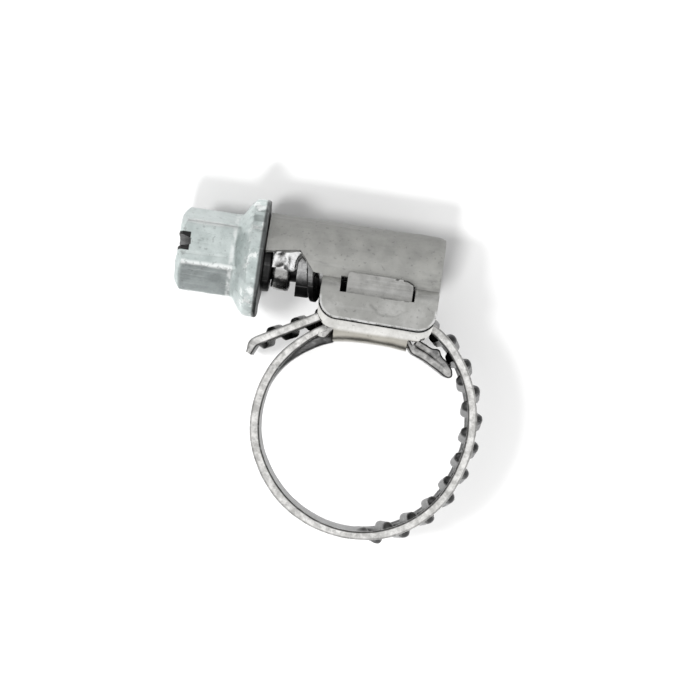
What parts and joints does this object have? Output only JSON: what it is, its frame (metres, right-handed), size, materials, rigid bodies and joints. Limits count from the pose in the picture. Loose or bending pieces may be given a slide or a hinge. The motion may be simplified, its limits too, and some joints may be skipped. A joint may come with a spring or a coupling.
{
  "type": "hose clamp",
  "caption": "Worm-drive hose clamp with an embossed band, folded tongue, saddle, barrel housing and slotted hexagon flange screw.",
  "frame": {"origin": "on the bore axis at mid-width of the band", "axes": "+Z along the bore axis; +X along the screw axis from its head towards its tip; +Y from the bore centre to the screw"},
  "size_m": [0.0295, 0.0297, 0.0122],
  "materials": {
    "housing": "brushed, drawn sheet",
    "saddle": "bright pressed sheet",
    "band_loop": "rolled strip with bright edges",
    "band_free_run": "embossed strip",
    "worm_screw": "dull zinc plate over forged steel"
  },
  "bodies": {
    "root": {"housing": "housing", "saddle": "saddle", "band_loop": "band_loop"},
    "screw": {"worm_screw": "worm_screw"},
    "run": {"band_free_run": "band_free_run"}
  },
  "joints": [
    {"name": "screw_turn", "type": "hinge", "parent": "root", "child": "screw", "pos_m": [0, 0.0146, 0], "axis": [1, 0, 0], "range_deg": [-540, 540]},
    {"name": "band_feed", "type": "hinge", "parent": "root", "child": "run", "pos_m": [0, 0, 0], "axis": [0, 0, 1], "range_deg": [-17.95, 17.95], "deforming": ["band_loop"]}
  ],
  "couplings": [
    {"joint": "band_feed", "follows": "screw_turn", "ratio": 0.03324}
  ]
}
